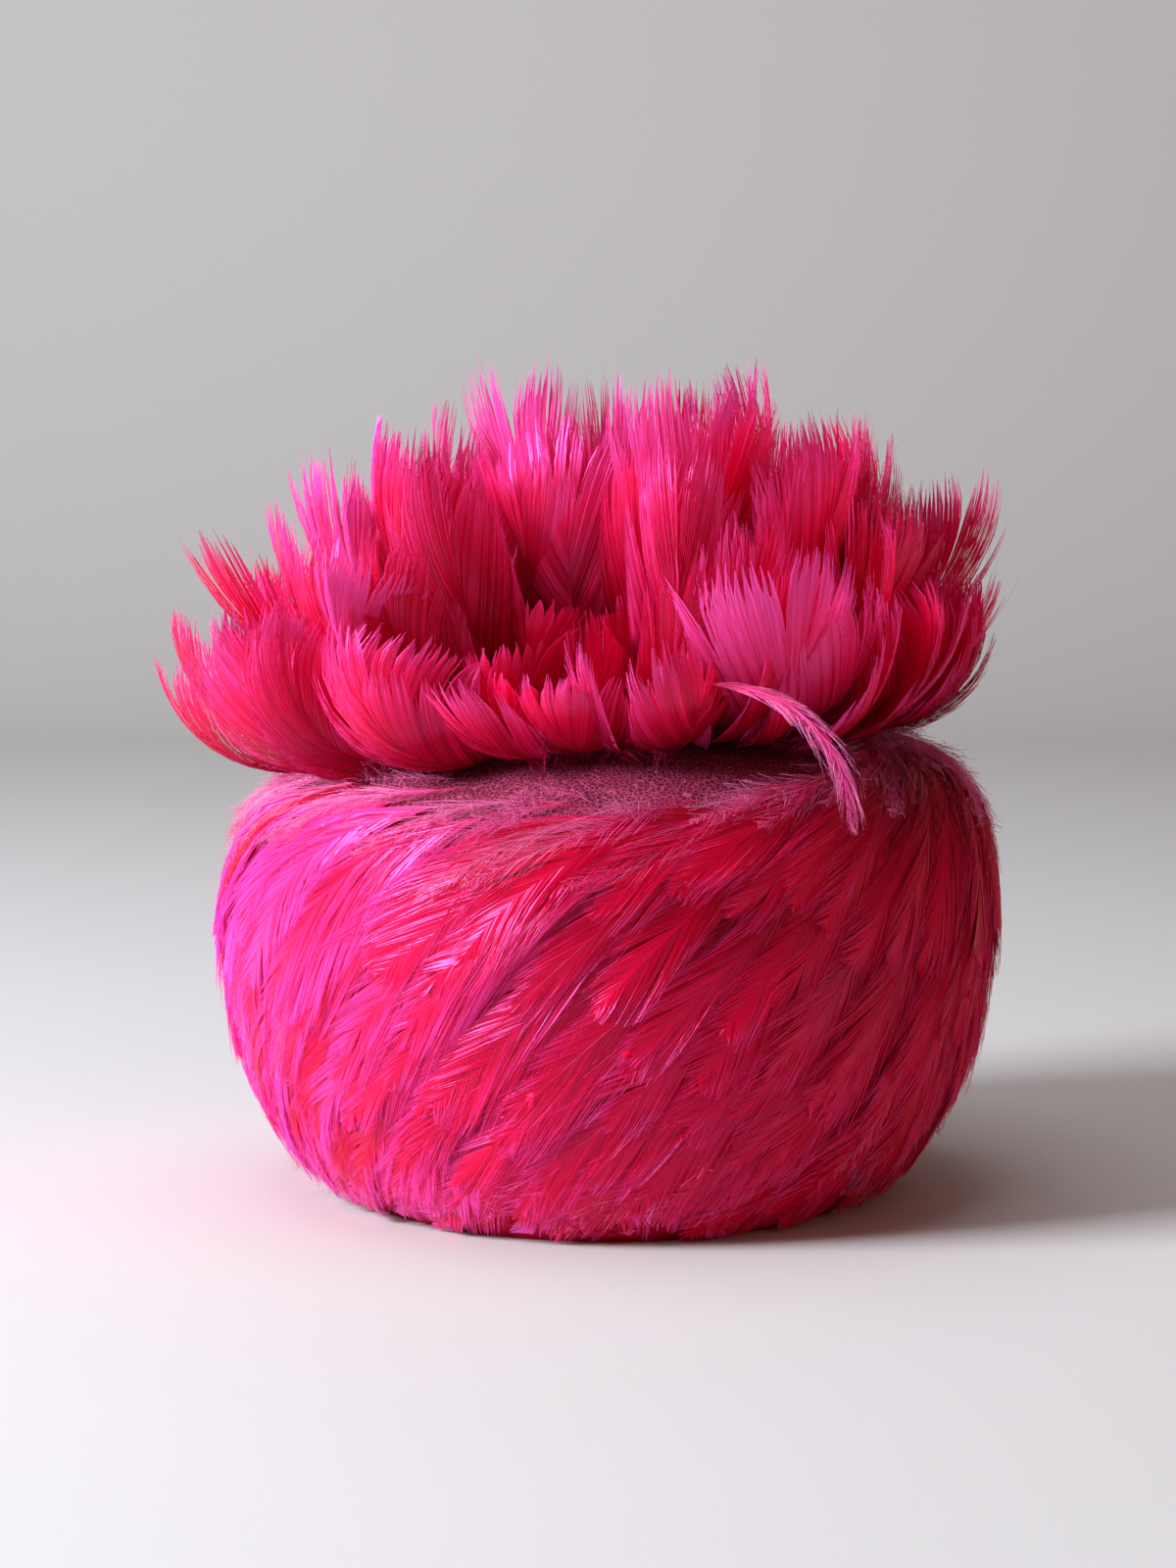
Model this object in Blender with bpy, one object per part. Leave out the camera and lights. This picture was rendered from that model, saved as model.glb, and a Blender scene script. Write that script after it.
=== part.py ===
"""A feathered turban hat, life size, standing on its rim.

A net-covered buckram form, hollow and swelling like a wound turban, carries three tiers of
slanting hackle feathers round its side and five rings of upturned goose feathers on its crown.
Metres, +Z up, the front of the hat towards -Y. The origin is on the surface it stands on, in
the middle of its rim. Angles run round the hat from its front, positive towards +X.
"""

import math

import bmesh
import bpy
from mathutils import Vector

# Head opening, inside the wall of the form.
HEAD_WIDTH = 0.154
HEAD_DEPTH = 0.190

# The form's swelling side, measured over its feathers, and its domed top.
BULGE_WIDTH = 0.249
BULGE_DEPTH = 0.258
BAND_HEIGHT = 0.128
DOME_RISE = 0.020
FORM_WALL = 0.0022

# The whole crown leans: its +X side stands higher than its -X side, by this angle at band height.
LEAN = math.radians(3.0)

# Hackle layers: thickness at a feather's ridge, the share of it left in the valley between two
# feathers and at a tier's thin edges, where the ridge lies across the feather, the air between
# two layers, and how deep the tips part, as a share of BAND_HEIGHT.
HACKLE_THICKNESS = 0.0030
HACKLE_VALLEY = 0.2
HACKLE_EDGE = 0.4
HACKLE_RIDGE = 0.78
LAYER_GAP = 0.0010
HACKLE_TIP_NOTCH = 0.078
RIM_CLEARANCE = 0.0012

# Share of the front hackles' slant that is left at the back of the hat.
BACK_SLANT = 0.10

# Goose feathers: the longest and the widest, blade thickness at the middle, the share of it left
# at the edge, the cupping as a share of the half width, the turn that lets neighbours overlap,
# and the ragged tip.
PLUME_LENGTH = 0.101
PLUME_WIDTH = 0.046
BLADE_THICKNESS = 0.0013
BLADE_EDGE = 0.45
BLADE_CUP = 0.20
BLADE_SHINGLE = math.radians(15)
TIP_FRAY = 0.007

# Feathers of one ring differ in length by this share, in waves of this angle from one to the next.
LENGTH_SPREAD = 0.04
LENGTH_WAVE = 3.9
FRAY_WAVE = 2.4

# The ruffle opens on a hollow at its front: the place of the hollow, its half width, and how much
# shorter the feathers there are, as a share of their length that grows with their ring's spread.
HOLLOW_PLACE = math.radians(-8)
HOLLOW_WIDTH = math.radians(22)
HOLLOW_DEPTH = 0.45

# The tape that a ring's quills are bound in, and the air under it.
TAPE_HEIGHT = 0.0028
TAPE_WIDTH = 0.010
TAPE_GAP = 0.0009

# How finely the round shapes are divided.
FORM_SEGMENTS = 40
TAPE_SEGMENTS = 22
BLADE_STEPS = 12
NORMAL_STEP = 0.03
SHARP_ANGLE = math.radians(35)

# Side of the form from the rim up: share of BAND_HEIGHT, and share of the swelling from the
# head opening out to the bulge.
SIDE_SECTIONS = (
    # height, swell
    (0.00, 0.00),
    (0.10, 0.43),
    (0.25, 0.72),
    (0.45, 0.90),
    (0.66, 1.00),
    (0.84, 0.93),
    (0.95, 0.72),
    (1.00, 0.44),
)

# Top of the form from the shoulder in: share of the shoulder's size, and share of DOME_RISE.
DOME_SECTIONS = (
    # spread, rise
    (1.00, 0.00),
    (0.80, 0.44),
    (0.54, 0.80),
    (0.26, 0.96),
    (0.00, 1.00),
)

# Hackle tiers: root and tip as shares of the side's height, with the roots of the upper tier
# over the shoulder, feathers round the hat, and the turn of a front feather from root to tip.
HACKLE_TIERS = (
    # name, root, tip, feathers, turn
    ("hackle_tier_lower", 0.36, 0.018, 28, 0.26),
    ("hackle_tier_middle", 0.74, 0.165, 28, 0.40),
    ("hackle_tier_upper", 1.06, 0.490, 28, 0.40),
)

# Plume rings: the hoop that the quills are bound in, as a share of the shoulder's size, the
# feathers in the ring, their length and width as shares of the longest and widest, and their
# slope at the quill and at the tip.
PLUME_RINGS = (
    # name, spread, feathers, length, width, slope at quill, slope at tip (degrees)
    ("plume_ring_skirt", 0.74, 18, 0.82, 0.96, -22, 108),
    ("plume_ring_outer", 0.58, 15, 0.93, 1.00, 0, 101),
    ("plume_ring_middle", 0.42, 12, 1.00, 0.96, 20, 100),
    ("plume_ring_inner", 0.25, 8, 0.94, 0.91, 45, 96),
    ("plume_ring_heart", 0.10, 4, 0.89, 0.78, 65, 93),
)

# Outline of a goose feather from quill to tip: share of its length, and share of its width.
BLADE_SECTIONS = (
    # along, width
    (0.00, 0.14),
    (0.28, 0.62),
    (0.60, 1.00),
    (0.86, 0.94),
    (1.00, 0.66),
)

# Points across a goose feather, as shares of its half width.
BLADE_ACROSS = (-1.0, -0.34, 0.34, 1.0)

FINISHES = {
    # name: colour, roughness
    "crown_net": ((0.34, 0.10, 0.19), 0.75),
    "hackle_feather": ((0.72, 0.01, 0.13), 0.45),
    "goose_feather": ((0.76, 0.02, 0.16), 0.50),
}


def along_table(table, share):
    """The table's second column where its first column, rising or falling, holds share."""
    rising = table[-1][0] > table[0][0]
    rows = table if rising else table[::-1]
    if share <= rows[0][0]:
        return rows[0][1]
    for (start, low), (end, high) in zip(rows, rows[1:]):
        if share <= end:
            return low + (high - low) * (share - start) / (end - start)
    return rows[-1][1]


def eased(share):
    """0 to 1 with a soft start and end."""
    share = min(1.0, max(0.0, share))
    return share * share * (3 - 2 * share)


def half_sizes(swell):
    """Half width and half depth of the form's outside at a share of its swelling."""
    layers = 2 * (LAYER_GAP + HACKLE_THICKNESS)
    rim = (HEAD_WIDTH / 2 + FORM_WALL, HEAD_DEPTH / 2 + FORM_WALL)
    bulge = (BULGE_WIDTH / 2 - layers, BULGE_DEPTH / 2 - layers)
    return tuple(near + swell * (far - near) for near, far in zip(rim, bulge))


def shoulder_sizes():
    """Half width and half depth of the form at its shoulder, where the dome starts."""
    return half_sizes(SIDE_SECTIONS[-1][1])


def form_point(angle, station):
    """A point of the form's outside. Station 0 is the rim, 1 the shoulder, 2 the dome's middle."""
    if station <= 1:
        width, depth = half_sizes(along_table(SIDE_SECTIONS, station))
        height = BAND_HEIGHT * station
    else:
        spread = 2 - station
        width, depth = (spread * size for size in shoulder_sizes())
        height = BAND_HEIGHT + DOME_RISE * along_table(DOME_SECTIONS, spread)
    return Vector((width * math.sin(angle), -depth * math.cos(angle), height))


def form_normal(angle, station):
    """The form's outward direction, averaged over a short step so that corners are shared."""
    low = max(0.0, station - NORMAL_STEP)
    high = min(2 - NORMAL_STEP, station + NORMAL_STEP)
    up = form_point(angle, high) - form_point(angle, low)
    sideways = form_point(angle + NORMAL_STEP, station) - form_point(angle - NORMAL_STEP, station)
    return sideways.cross(up).normalized()


def over_form(angle, station, lift):
    """A point lifted off the form's outside, or sunk inside it by a negative lift."""
    return form_point(angle, station) + form_normal(angle, station) * lift


def over_dome(turn, spread, lift):
    """A point lifted off the dome on a round hoop, sized by a share of the shoulder's mean half size."""
    width, depth = shoulder_sizes()
    radius = spread * (width + depth) / 2
    across = radius * math.sin(turn) / width
    ahead = radius * math.cos(turn) / depth
    return over_form(math.atan2(across, ahead), 2 - math.hypot(across, ahead), lift)


def leaning(point):
    """The point raised or lowered by the crown's lean, which grows from nothing at the rim."""
    share = eased(point.z / BAND_HEIGHT)
    return Vector((point.x, point.y, point.z + point.x * math.tan(LEAN) * share))


def finish(name):
    """A plain finish for one kind of feather or cloth."""
    colour, roughness = FINISHES[name]
    made = bpy.data.materials.new(name)
    made.use_nodes = True
    shader = made.node_tree.nodes["Principled BSDF"]
    shader.inputs["Base Color"].default_value = (*colour, 1.0)
    shader.inputs["Roughness"].default_value = roughness
    shader.inputs["Metallic"].default_value = 0.0
    return made


def mesh_from(name, points, faces):
    """A mesh whose faces all point out of the body, leaned with the crown."""
    mesh = bpy.data.meshes.new(name)
    mesh.from_pydata([leaning(point) for point in points], [], faces)
    edited = bmesh.new()
    edited.from_mesh(mesh)
    bmesh.ops.recalc_face_normals(edited, faces=edited.faces)
    bmesh.ops.triangulate(edited, faces=edited.faces, quad_method="SHORT_EDGE")
    edited.to_mesh(mesh)
    edited.free()
    return mesh


def add_object(name, mesh, material):
    """One named sub-part in the scene, shaded smooth over its soft edges."""
    made = bpy.data.objects.new(name, mesh)
    mesh.materials.clear()
    mesh.materials.append(material)
    mesh.shade_smooth()
    mesh.set_sharp_from_angle(angle=SHARP_ANGLE)
    bpy.context.scene.collection.objects.link(made)
    return made


def round_faces(rows, columns):
    """Quads between rings of points laid one after another, each ring closed on itself."""
    faces = []
    for row in range(rows - 1):
        low, high = row * columns, (row + 1) * columns
        for column in range(columns):
            beside = (column + 1) % columns
            faces.append((low + column, low + beside, high + beside, high + column))
    return faces


def hoop_body(rings):
    """Points and faces of a closed hoop through several rings of points, the last joined to the first."""
    columns = len(rings[0])
    points = [point for ring in rings for point in ring]
    faces = round_faces(len(rings), columns)
    last = (len(rings) - 1) * columns
    for column in range(columns):
        beside = (column + 1) % columns
        faces.append((last + column, last + beside, beside, column))
    return points, faces


def net_form(material):
    """The hollow buckram form: side, shoulder and dome in one wall, open at the rim."""
    angles = [math.tau * number / FORM_SEGMENTS for number in range(FORM_SEGMENTS)]
    stations = [height for height, _ in SIDE_SECTIONS] + [2 - spread for spread, _ in DOME_SECTIONS[1:-1]]
    outside = [[form_point(angle, station) for angle in angles] for station in stations]
    inside = [[over_form(angle, station, -FORM_WALL) for angle in angles] for station in stations]
    for column, angle in enumerate(angles):
        inside[0][column] = Vector((HEAD_WIDTH / 2 * math.sin(angle), -HEAD_DEPTH / 2 * math.cos(angle), 0.0))
    rows = inside[::-1] + outside
    points = [point for row in rows for point in row]
    faces = round_faces(len(rows), FORM_SEGMENTS)
    dome_top = Vector((0.0, 0.0, BAND_HEIGHT + DOME_RISE))
    points += [dome_top - Vector((0.0, 0.0, FORM_WALL)), dome_top]
    last = (len(rows) - 1) * FORM_SEGMENTS
    for column in range(FORM_SEGMENTS):
        beside = (column + 1) % FORM_SEGMENTS
        faces.append((beside, column, len(points) - 2))
        faces.append((last + column, last + beside, len(points) - 1))
    return add_object("net_form", mesh_from("net_form", points, faces), material)


def tier_stations(root, tip):
    """Heights of a tier's rows: its root, the form's own sections above its notched tips, and its tip."""
    between = [height for height, _ in SIDE_SECTIONS if tip + HACKLE_TIP_NOTCH < height < root]
    return [root, *sorted(between, reverse=True), tip]


def hackle_tier(name, root, tip, feathers, turn, root_below, material):
    """A tier of slanting hackles, each a ridge with a pointed tip, on one thin backing. Below the
    roots of the tier under it, it lies on that tier and not on the form."""
    columns = 2 * feathers
    inner, outer = [], []
    for station in tier_stations(root, tip):
        down = (root - station) / (root - tip)
        at_edge = station in (root, tip)
        lift = LAYER_GAP
        if station < root_below:
            lift += HACKLE_THICKNESS + LAYER_GAP
        inner_row, outer_row = [], []
        for column in range(columns):
            on_ridge = column % 2 == 1
            start = math.tau * (column // 2 + (HACKLE_RIDGE if on_ridge else 0.0)) / feathers
            slant = BACK_SLANT + (1 - BACK_SLANT) * (1 + math.cos(start)) / 2
            angle = start - turn * slant * down
            notch = 0.0 if on_ridge or station != tip else HACKLE_TIP_NOTCH
            thickness = HACKLE_THICKNESS * (1.0 if on_ridge else HACKLE_VALLEY)
            thickness *= HACKLE_EDGE if at_edge else 1.0
            inner_row.append(over_form(angle, station + notch, lift))
            outer_row.append(over_form(angle, station + notch, lift + thickness))
        inner.append(inner_row)
        outer.append(outer_row)
    for row in inner + outer:
        for point in row:
            point.z = max(point.z, RIM_CLEARANCE)
    points, faces = hoop_body(inner + outer[::-1])
    return add_object(name, mesh_from(name, points, faces), material)


def blade_rows(length, width, slope_start, slope_end, phase):
    """Cross rows of a goose feather standing in the X-Z plane, its quill at the origin: cupped
    towards -X, turned about its own line so that neighbours overlap, and frayed at its tip."""
    rows = []
    place = Vector((0.0, 0.0, 0.0))
    reached = 0.0
    for along, breadth in BLADE_SECTIONS:
        step = (along - reached) / BLADE_STEPS
        for number in range(BLADE_STEPS):
            share = reached + step * (number + 0.5)
            slope = math.radians(slope_start + (slope_end - slope_start) * share)
            place = place + Vector((math.cos(slope), 0.0, math.sin(slope))) * length * step
        reached = along
        slope = math.radians(slope_start + (slope_end - slope_start) * along)
        forward = Vector((math.cos(slope), 0.0, math.sin(slope)))
        outward = Vector((math.sin(slope), 0.0, -math.cos(slope)))
        side = Vector((0.0, 1.0, 0.0)) * math.cos(BLADE_SHINGLE) + outward * math.sin(BLADE_SHINGLE)
        facing = forward.cross(side).normalized()
        half = width * breadth / 2
        row = []
        for number, share in enumerate(BLADE_ACROSS):
            centre = place + side * half * share + facing * half * BLADE_CUP * share * share
            if along == 1.0:
                centre = centre + forward * TIP_FRAY * math.sin(FRAY_WAVE * number + phase)
            thickness = BLADE_THICKNESS * (1.0 - (1.0 - BLADE_EDGE) * abs(share))
            row.append((centre + facing * thickness / 2, centre - facing * thickness / 2))
        rows.append(row)
    return rows


def blade(name, rows, spot, turn):
    """One goose feather as a closed thin body, turned to its place in the ring."""
    loops = [[front for front, _ in row] + [back for _, back in row[::-1]] for row in rows]
    around = len(loops[0])
    faces = round_faces(len(loops), around)
    for base in (0, (len(loops) - 1) * around):
        for column in range(around // 2 - 1):
            opposite = around - 1 - column
            faces.append((base + column, base + column + 1, base + opposite - 1, base + opposite))
    sine, cosine = math.sin(turn), math.cos(turn)
    placed = [
        spot + Vector((point.x * sine + point.y * cosine, point.y * sine - point.x * cosine, point.z))
        for loop in loops for point in loop
    ]
    return mesh_from(name, placed, faces)


def tape_hoop(name, spread, material):
    """The flat tape that a ring's quills are bound in, lying on the dome."""
    reach = TAPE_WIDTH / sum(shoulder_sizes())
    angles = [math.tau * number / TAPE_SEGMENTS for number in range(TAPE_SEGMENTS)]
    corners = (
        (spread - reach, TAPE_GAP),
        (spread + reach, TAPE_GAP),
        (spread + reach, TAPE_GAP + TAPE_HEIGHT),
        (spread - reach, TAPE_GAP + TAPE_HEIGHT),
    )
    rings = [[over_dome(angle, share, lift) for angle in angles] for share, lift in corners]
    points, faces = hoop_body(rings)
    return add_object(name, mesh_from(name, points, faces), material)


def fused(name, body, added, material):
    """The body and the objects of a collection united into one closed body."""
    union = body.modifiers.new("bound_together", "BOOLEAN")
    union.operation = "UNION"
    union.operand_type = "COLLECTION"
    union.collection = added
    union.solver = "EXACT"
    bpy.context.view_layer.update()
    mesh = bpy.data.meshes.new_from_object(body.evaluated_get(bpy.context.evaluated_depsgraph_get()))
    body.modifiers.remove(union)
    for spent in [*added.objects, body]:
        bpy.data.objects.remove(spent)
    bpy.data.collections.remove(added)
    return add_object(name, mesh, material)


def plume_ring(name, spread, feathers, length, width, slope_start, slope_end, material):
    """A ring of goose feathers, joined to the tape that binds their quills into one body."""
    bound = bpy.data.collections.new(name + "_feathers")
    bpy.context.scene.collection.children.link(bound)
    for number in range(feathers):
        turn = math.tau * (number + 0.5 * (feathers % 2)) / feathers
        uneven = 1.0 + LENGTH_SPREAD * math.sin(LENGTH_WAVE * number + feathers)
        aside = math.remainder(turn - HOLLOW_PLACE, math.tau) / HOLLOW_WIDTH
        uneven *= 1.0 - HOLLOW_DEPTH * spread * math.exp(-aside * aside)
        sizes = (length * PLUME_LENGTH * uneven, width * PLUME_WIDTH)
        rows = blade_rows(*sizes, slope_start, slope_end, phase=number)
        spot = over_dome(turn, spread, TAPE_GAP + TAPE_HEIGHT / 2)
        mesh = blade(f"{name}_{number}", rows, spot, turn)
        bound.objects.link(bpy.data.objects.new(mesh.name, mesh))
    return fused(name, tape_hoop(name, spread, material), bound, material)


def main():
    """Clears the scene and builds the hat from its form outwards."""
    for old in list(bpy.data.objects):
        bpy.data.objects.remove(old)
    net_form(finish("crown_net"))
    hackle = finish("hackle_feather")
    root_below = 0.0
    for tier in HACKLE_TIERS:
        hackle_tier(*tier, root_below, hackle)
        root_below = tier[1]
    goose = finish("goose_feather")
    for ring in PLUME_RINGS:
        plume_ring(*ring, goose)


main()
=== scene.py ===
import math
import random

import bmesh
import bpy
from mathutils import Matrix, Vector
from mathutils.bvhtree import BVHTree


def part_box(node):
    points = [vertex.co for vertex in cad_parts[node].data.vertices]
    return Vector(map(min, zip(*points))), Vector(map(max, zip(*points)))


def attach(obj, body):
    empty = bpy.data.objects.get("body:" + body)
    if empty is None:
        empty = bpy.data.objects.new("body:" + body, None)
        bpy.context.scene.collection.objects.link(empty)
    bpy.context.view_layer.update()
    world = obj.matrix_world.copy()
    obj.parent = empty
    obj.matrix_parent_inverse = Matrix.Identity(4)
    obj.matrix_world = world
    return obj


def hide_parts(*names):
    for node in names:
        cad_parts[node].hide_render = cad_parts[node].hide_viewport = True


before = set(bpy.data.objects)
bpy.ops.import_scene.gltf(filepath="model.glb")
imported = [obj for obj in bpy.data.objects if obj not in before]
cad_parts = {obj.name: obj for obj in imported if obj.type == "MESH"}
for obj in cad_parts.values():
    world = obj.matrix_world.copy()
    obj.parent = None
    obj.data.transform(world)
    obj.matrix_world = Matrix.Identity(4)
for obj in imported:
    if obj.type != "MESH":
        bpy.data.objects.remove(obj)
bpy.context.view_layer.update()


# The crown form
# A shell of stiffened buckram shaped on a wooden block, hollow and open at the rim. A fine dyed
# net is drawn over it and shows as a dusty pink in the well between the band and the ruffle.

# The net's threads, the cloth behind them where it takes the dye well and badly, and the dyed
# cloth of the side, which glimpses between the hackles.
NET_LIGHT = "#b84a70"
NET_DARK = "#3a0a1e"
BUCKRAM = "#861434"
DYED_SIDE = "#c40030"

# The height where the bare net begins and how softly it does, and the net's cells: 1.6 mm, about
# twice as coarse as a real net's, so that they show. A thread ends between these shares of a cell.
NET_EDGE = 0.118
NET_EDGE_BLUR = 0.006
NET_CELL = 0.0016
THREAD_EDGES = (0.03, 0.11)
THREAD_HEIGHT = 0.0003
DYE_CLOUDS_PER_METRE = 90.0

MERGE = 0.00001
RIM_HEIGHT = 0.0001
FLATTEST_FOLD = math.radians(60)
FORM_LEVELS = 2


def linear(code):
    """An sRGB hex colour as the linear colour that a socket takes."""
    shares = [int(code[place:place + 2], 16) / 255 for place in (1, 3, 5)]
    return (*(s / 12.92 if s <= 0.04045 else ((s + 0.055) / 1.055) ** 2.4 for s in shares), 1.0)


def add(tree, kind, *inputs, named=None, **settings):
    """Adds a node to a tree. An input is a number, a colour, a socket, or a node for its first
    output."""
    made = tree.nodes.new(kind)
    for key, value in settings.items():
        setattr(made, key, value)
    given = [(made.inputs[place], value) for place, value in enumerate(inputs) if value is not None]
    given += [(made.inputs[key], value) for key, value in (named or {}).items()]
    for socket, value in given:
        if isinstance(value, bpy.types.Node):
            value = value.outputs[0]
        if isinstance(value, bpy.types.NodeSocket):
            tree.links.new(value, socket)
        else:
            socket.default_value = value
    return made


def new_material(name):
    """An empty material, its tree and its output node."""
    made = bpy.data.materials.new(name)
    made.use_nodes = True
    made.node_tree.nodes.clear()
    return made, made.node_tree, made.node_tree.nodes.new("ShaderNodeOutputMaterial")


def buckram_net():
    """Dyed net over buckram: matt, with fine open cells that show the darker cloth behind."""
    made, tree, out = new_material("dyed_net_on_buckram")
    place = add(tree, "ShaderNodeTexCoord").outputs["Object"]
    cells = add(tree, "ShaderNodeTexVoronoi", place, feature="DISTANCE_TO_EDGE",
                named={"Scale": 1 / NET_CELL})
    thread = add(tree, "ShaderNodeMapRange", cells, *THREAD_EDGES, 1.0, 0.0)
    cloudy = add(tree, "ShaderNodeTexNoise", place, named={"Scale": DYE_CLOUDS_PER_METRE, "Detail": 5.0})
    cloth = add(tree, "ShaderNodeMix", cloudy, data_type="RGBA",
                named={6: linear(NET_DARK), 7: linear(BUCKRAM)})
    netted = add(tree, "ShaderNodeMix", thread, data_type="RGBA",
                 named={6: cloth.outputs[2], 7: linear(NET_LIGHT)})
    height = add(tree, "ShaderNodeSeparateXYZ", place).outputs["Z"]
    crown = add(tree, "ShaderNodeMapRange", height,
                NET_EDGE - NET_EDGE_BLUR, NET_EDGE + NET_EDGE_BLUR, 0.0, 1.0)
    coloured = add(tree, "ShaderNodeMix", crown, data_type="RGBA",
                   named={6: linear(DYED_SIDE), 7: netted.outputs[2]})
    relief = add(tree, "ShaderNodeBump", named={
        "Height": thread.outputs[0], "Strength": 0.6, "Distance": THREAD_HEIGHT})
    shader = add(tree, "ShaderNodeBsdfPrincipled", named={
        "Base Color": coloured.outputs[2], "Normal": relief.outputs[0], "Roughness": 0.82,
        "Specular IOR Level": 0.15,
    })
    tree.links.new(shader.outputs[0], out.inputs[0])
    return made


def finished_mesh(holder):
    """The object's mesh with its modifiers applied. The object itself is removed."""
    bpy.context.view_layer.update()
    seen = holder.evaluated_get(bpy.context.evaluated_depsgraph_get())
    mesh = bpy.data.meshes.new_from_object(seen)
    bpy.data.objects.remove(holder)
    return mesh


def put_up(name, mesh, slot, *nodes):
    """A finished piece in the scene, riding on the hat and standing for its CAD nodes."""
    piece = bpy.data.objects.new(name, mesh)
    bpy.context.scene.collection.objects.link(piece)
    mesh.shade_smooth()
    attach(piece, "root")
    if nodes:
        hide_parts(*nodes)
    return piece


def smooth_form():
    """The CAD form's faceted walls joined up and rounded, with a crisp rim."""
    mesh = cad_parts["net_form"].data.copy()
    edited = bmesh.new()
    edited.from_mesh(mesh)
    bmesh.ops.remove_doubles(edited, verts=edited.verts, dist=MERGE)
    bmesh.ops.join_triangles(
        edited, faces=edited.faces, angle_face_threshold=FLATTEST_FOLD, angle_shape_threshold=FLATTEST_FOLD
    )
    crease = edited.edges.layers.float.new("crease_edge")
    for edge in edited.edges:
        if all(vert.co.z < RIM_HEIGHT for vert in edge.verts):
            edge[crease] = 1.0
    edited.to_mesh(mesh)
    edited.free()
    holder = bpy.data.objects.new("form", mesh)
    bpy.context.scene.collection.objects.link(holder)
    rounding = holder.modifiers.new("rounding", "SUBSURF")
    rounding.levels = FORM_LEVELS
    rounding.render_levels = FORM_LEVELS
    return finished_mesh(holder)


form_mesh = smooth_form()
form_mesh.materials.clear()
form_mesh.materials.append(buckram_net())
form = put_up("net_covered_form", form_mesh, "crown_net", "net_form")

form_low, form_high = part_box("net_form")
form_surface = BVHTree.FromPolygons(
    [vert.co for vert in form_mesh.vertices], [face.vertices for face in form_mesh.polygons]
)


# The hackle band
# Some hundreds of cock hackles, dyed hot pink, are glued to the form in rows from the rim up, so
# that each row hides the quills of the one below. They slant round the hat from upper right to
# lower left and fall straight at its sides.

# The deep colour near the quill's foot and in dark streaks, a painted shade at the foot, the dye further
# up it, the blush and pale tints where barbs fray, where their streaks are light and, as a painted
# highlight, on the lit side, and the tint of the gloss on both kinds of feather.
HACKLE_DEEP_AND_ROOT_SHADE = "#a80014"
HACKLE_INK = "#ee003a"
HACKLE_BLUSH = "#ff2c78"
HACKLE_PALE = "#ff5cd4"
SHINE = "#ff82e6"

# A hackle's size and the shares of it that single ones have. Its barbs are 0.8 mm apart, about
# twice as far as real ones, so that they show.
HACKLE_LENGTH = 0.084
HACKLE_LENGTHS = (0.78, 1.2)
HACKLE_HALF_WIDTH = 0.0125
HACKLE_WIDTHS = (0.75, 1.15)
HACKLE_SPACING = 0.00080
HACKLE_POINTS = 12

# The rows run down from the band's upper edge. Each hackle strays from its row by up to the drift,
# rolls about its quill and swings round along it, in degrees, and stands off the form by the lift
# at its root and tip, in full from the full lift's height up.
HACKLE_TIERS = (("upper", 50), ("middle", 47), ("lower", 44))
ROWS_IN_A_TIER = 3
HACKLE_ROW_STEP = 0.0145
HACKLE_DRIFT = 0.007
HACKLE_ROLL = (-8, 12)
HACKLE_SWING = 22
HACKLE_ROOT_LIFT = 0.0012
HACKLE_TIP_LIFT = 0.0055
FULL_LIFT_HEIGHT = 0.045

# The band's upper edge lies this far under the form's top, dips at the front and rises towards
# +X. Along it the hackles lie flatter, turned by up to the lying turn.
EDGE_DEPTH = 0.017
EDGE_RISE = 0.05
FRONT_DIP = 0.009
FRONT_DIP_PLACE = 10
FRONT_DIP_WIDTH = 34
LYING_EDGE = 0.026
LYING_TURN = 42

# How finely a line is walked over the form, where the walk to the edge starts under the top, the
# slope that counts as the dome, and how far above the floor the ragged tips end.
HACKLE_STEP = 0.0015
WALK_START = 0.045
FAR_OUT = 0.3
DOME_SLOPE = 0.35
FLOOR_CLEARANCE = 0.0006
RAGGED_EDGE = (0.001, 0.012)

# How steeply the hackles fall at each place round the hat, in degrees. Place 0 is the front, and
# positive places are towards +X.
HACKLE_SLANT = (
    # place, fall
    (-180, 84),
    (-110, 82),
    (-75, 66),
    (-40, 46),
    (-5, 40),
    (20, 44),
    (45, 58),
    (75, 76),
    (110, 84),
    (180, 84),
)

# A hackle's outline by the barb's root: how far out it ends, as a share of the half width, and
# how far along, as a share of the length.
HACKLE_SPREAD = ((0.0, 0.55), (0.12, 0.92), (0.35, 1.00), (0.65, 0.66), (0.88, 0.28), (1.0, 0.03))
HACKLE_REACH = ((0.0, 0.40), (0.12, 0.66), (0.35, 0.90), (0.65, 0.99), (0.88, 1.01), (1.0, 1.02))

# How unevenly locks follow each other along a quill and in how many swells, a barb's width at its
# root as a share of the spacing and what it loses towards its tip, and what the shaft loses
# towards its own.
LOCK_WANDER = 0.22
LOCK_SWELLS = 6.0
BARB_ROOT_WIDTH = 1.25
BARB_THINNING = 1.05
SHAFT_THINNING = 0.85

# These keep the luck of single feathers, barbs, locks and rifts apart.
FEATHER_SALT = 57.31
BARB_SALT = 9731.0
LOCK_SALT = 0.3
RIFT_SALT = 7.7

# How barbs curl, in radians: the spread of their starts and their turns sideways and up and down.
CURL_STARTS = 6.3
CURL_SIDEWAYS = 7.0
CURL_NOD = 9.0

# What a barb's own luck, its rib and its lock add to its streak of dye, and the shaft's streak.
BARB_STREAK = 0.3
RIB_STREAK = 0.4
LOCK_STREAK = 0.3
SHAFT_STREAK = 0.6

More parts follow.
